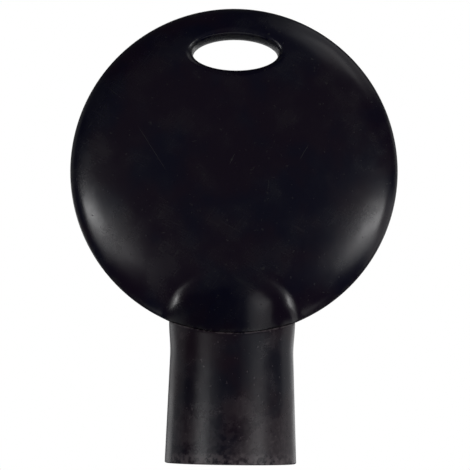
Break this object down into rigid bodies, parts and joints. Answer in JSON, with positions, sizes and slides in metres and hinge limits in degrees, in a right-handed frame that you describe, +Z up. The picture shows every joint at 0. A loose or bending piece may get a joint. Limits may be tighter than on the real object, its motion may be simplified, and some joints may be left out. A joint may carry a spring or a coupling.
{
  "type": "radiator bleed key",
  "caption": "Radiator bleed key with a round head and a key-ring eye, on a short tapered barrel that holds a square brass socket.",
  "frame": {"origin": "centre of the barrel's mouth, on the surface that the key stands on", "axes": "+Z up the barrel's axis to the top of the head, -Y the head's front face, +Y its back face, +X to the right seen from the front"},
  "size_m": [0.0326, 0.013, 0.0454],
  "materials": {
    "head_plastic": "satin",
    "barrel_plastic": "satin",
    "insert_brass": "satin"
  },
  "bodies": {
    "root": {"head_moulding": "head_plastic", "barrel_sleeve": "barrel_plastic", "square_socket_insert": "insert_brass"}
  },
  "joints": []
}
